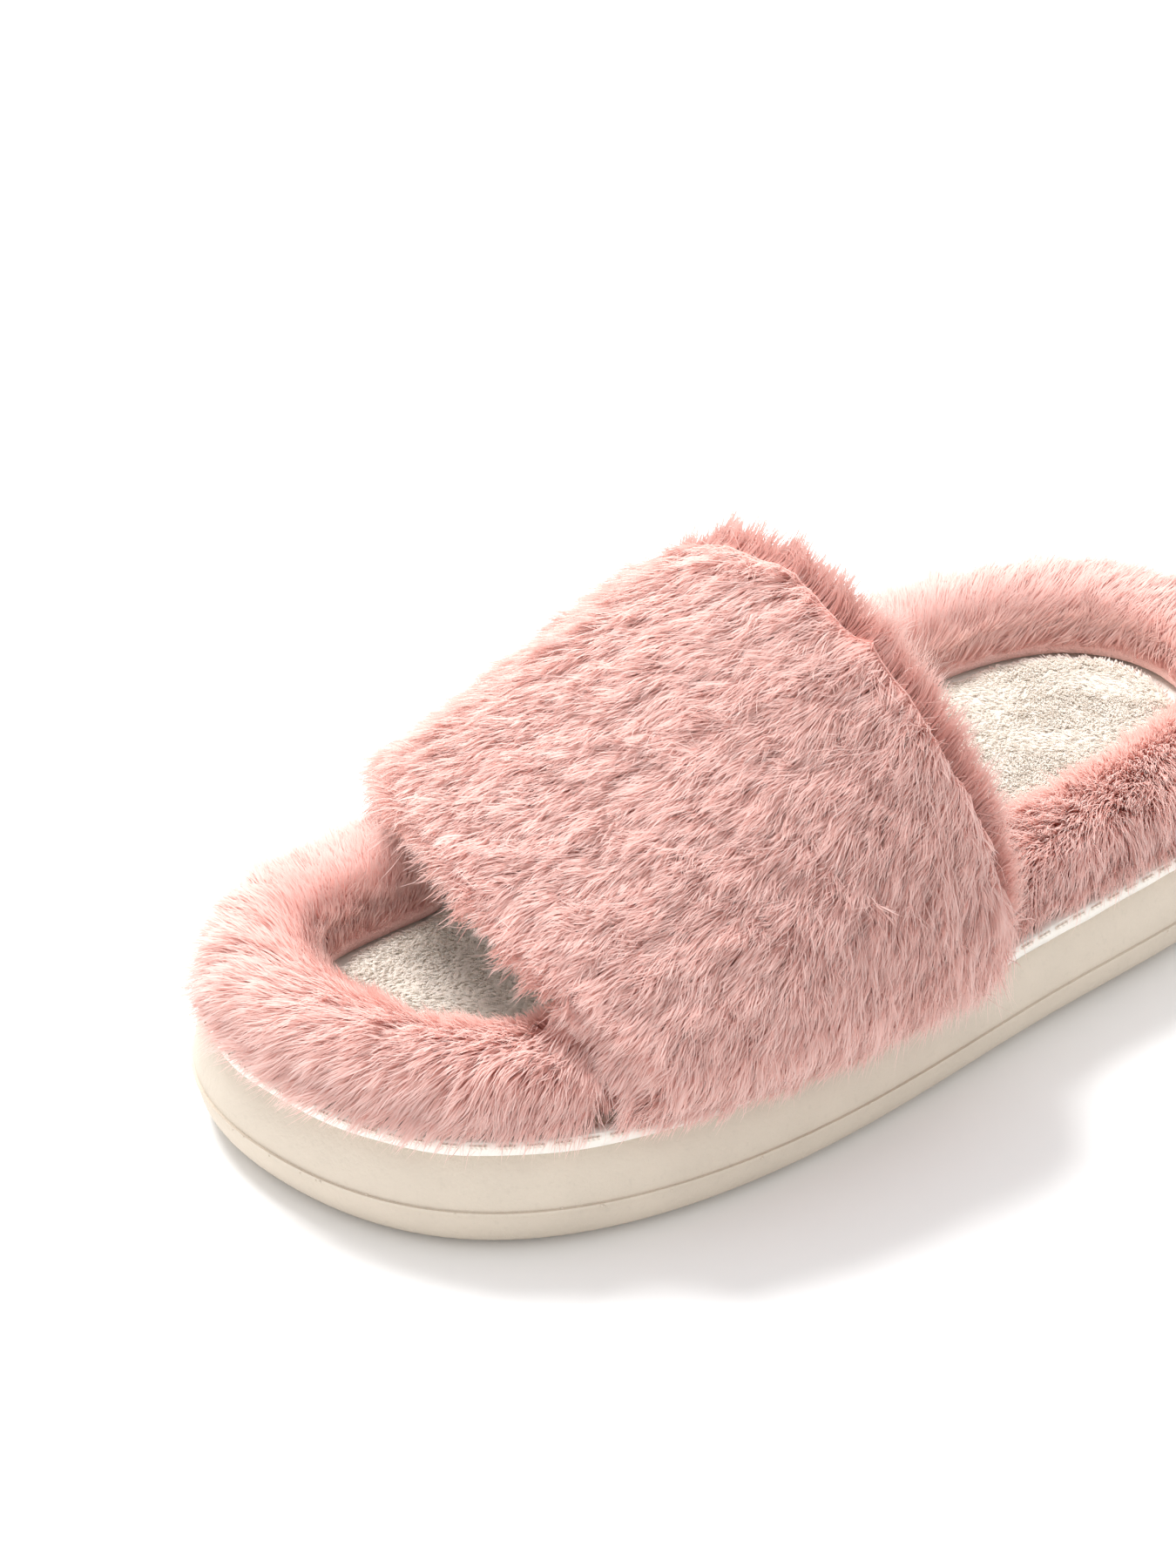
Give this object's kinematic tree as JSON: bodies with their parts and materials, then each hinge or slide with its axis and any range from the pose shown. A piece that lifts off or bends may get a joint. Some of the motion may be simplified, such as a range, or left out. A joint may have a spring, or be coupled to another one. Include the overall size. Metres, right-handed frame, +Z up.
{
  "type": "fluffy house slipper",
  "caption": "Left open-toe house slipper: soft moulded foam sole, plush footbed, padded fur rims and a padded fur band over the foot.",
  "frame": {"origin": "middle of the footprint, on the floor that the sole stands on", "axes": "+Z up, -Y towards the toe, +Y towards the heel, +X towards the lateral side of a left foot"},
  "size_m": [0.1188, 0.2668, 0.0987],
  "materials": {
    "sole_foam": "cream moulded foam, matte, fine leathery skin",
    "board": "pressed fibre board",
    "soft_foam": "open-cell foam",
    "footbed_plush": "cream short-pile plush",
    "welt_cloth": "off-white knitted strip",
    "thread": "sewing thread",
    "rim_fur": "pale pink long-pile faux fur",
    "band_fur": "pale pink long-pile faux fur",
    "lining_plush": "pale pink short-pile plush",
    "tape": "woven tape"
  },
  "bodies": {
    "root": {"moulded_sole": "sole_foam", "insole_board": "board", "footbed_foam": "soft_foam", "footbed_plush_cover": "footbed_plush", "welt_strip": "welt_cloth", "welt_stitching": "thread", "toe_rim_foam_roll": "soft_foam", "toe_rim_fur_cover": "rim_fur", "heel_rim_foam_roll": "soft_foam", "heel_rim_fur_cover": "rim_fur", "band_fur_cover": "band_fur", "band_foam": "soft_foam", "band_lining": "lining_plush", "front_edge_tape": "tape", "back_edge_tape": "tape", "front_hem_stitching": "thread", "back_hem_stitching": "thread"}
  },
  "joints": []
}
